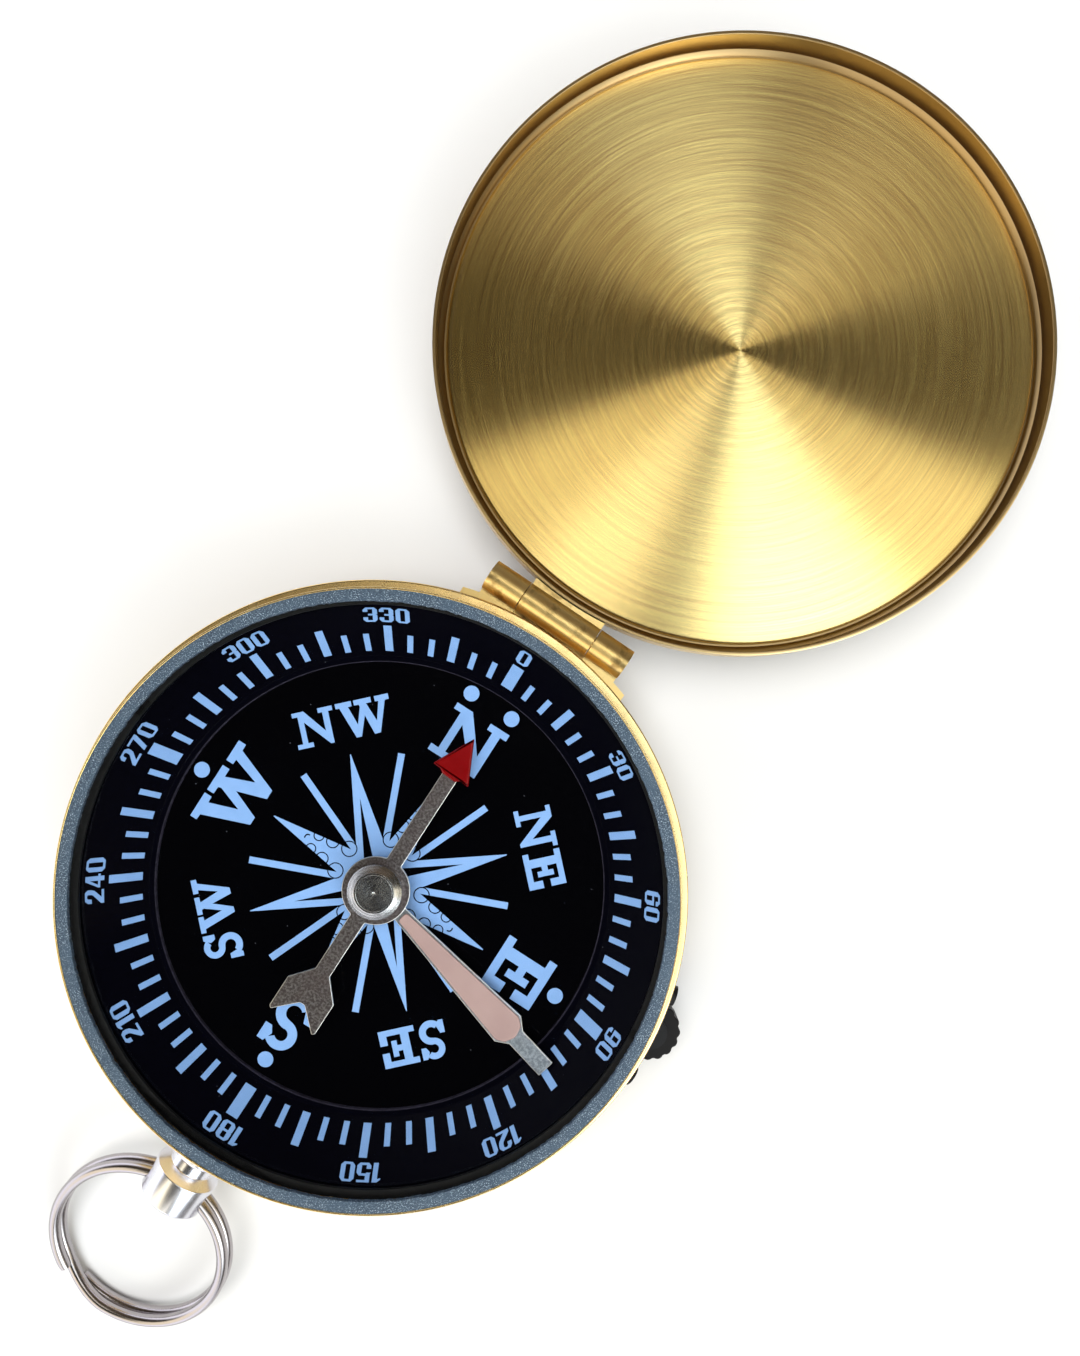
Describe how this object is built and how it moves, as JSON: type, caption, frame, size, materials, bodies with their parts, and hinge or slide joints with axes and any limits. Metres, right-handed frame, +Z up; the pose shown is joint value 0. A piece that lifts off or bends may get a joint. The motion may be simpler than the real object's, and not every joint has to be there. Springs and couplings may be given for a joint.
{
  "type": "pocket compass",
  "caption": "Round brass pocket compass with a flip lid on a barrel hinge, swinging needle, settable course pointer, geared thumbwheel and split ring.",
  "frame": {"origin": "centre of the flat underside of the case", "axes": "+Z up out of the glass, +Y from the case to the lid hinge (the dial's north), +X to the dial's east, where the thumbwheel is"},
  "size_m": [0.0479, 0.1108, 0.0096],
  "materials": {
    "brass": "polished, lightly worn",
    "lid_plate_brass": "spun, circular brush marks",
    "hinge_brass": "drawn tube, file marks",
    "brass_gear": "stamped",
    "grey_ring": "speckled blue-grey",
    "glass": "clear",
    "gasket": "matt black",
    "black_plastic": "glossy black",
    "dial_black": "black lacquer with pale blue print",
    "black_metal": "black oxide",
    "steel": "turned",
    "needle_steel": "tempered steel, north tip in red enamel",
    "pointer_steel": "stamped, with a dusty pink filling",
    "nickel": "bright nickel",
    "jewel": "clear red",
    "ring_steel": "bright nickel"
  },
  "bodies": {
    "case": {"case_body": "brass", "bezel_ring": "brass", "retaining_ring": "grey_ring", "crystal_glass": "glass", "glass_gasket": "gasket", "scale_ring": "black_plastic", "dial_disc": "dial_black", "pivot_bush": "brass", "pivot_post": "steel", "gear_washer": "steel", "wheel_bracket": "black_metal", "wheel_axle": "black_metal", "bracket_rivets": "black_metal", "hinge_case_leaf": "hinge_brass", "hinge_pin": "hinge_brass", "stem_boss": "nickel", "stem_post": "nickel", "stem_washer": "steel"},
    "course": {"pointer_gear": "brass_gear", "course_pointer": "pointer_steel"},
    "needle": {"needle": "needle_steel", "needle_cap": "nickel", "cap_jewel": "jewel"},
    "thumbwheel": {"thumbwheel": "black_plastic"},
    "lid": {"lid_shell": "brass", "lid_plate": "lid_plate_brass", "hinge_lid_leaf": "hinge_brass"},
    "ring": {"split_ring": "ring_steel"}
  },
  "joints": [
    {"name": "lid_hinge", "type": "hinge", "parent": "case", "child": "lid", "pos_m": [0, 0.02395, 0.008], "axis": [1, 0, 0], "range_deg": [0, 180]},
    {"name": "needle_swing", "type": "hinge", "parent": "case", "child": "needle", "pos_m": [0, 0, 0.00636], "axis": [0, 0, 1], "continuous": true},
    {"name": "course_turn", "type": "hinge", "parent": "case", "child": "course", "pos_m": [0, 0, 0.0025], "axis": [0, 0, 1], "continuous": true},
    {"name": "thumbwheel_turn", "type": "hinge", "parent": "case", "child": "thumbwheel", "pos_m": [0.02297, 0.00242, 0.003], "axis": [0, 0, 1], "continuous": true},
    {"name": "ring_swing", "type": "hinge", "parent": "case", "child": "ring", "pos_m": [0, -0.0268, 0.0044], "axis": [-1, 0, 0], "range_deg": [-85, 115]}
  ],
  "couplings": [
    {"joint": "thumbwheel_turn", "follows": "course_turn", "ratio": -10}
  ]
}
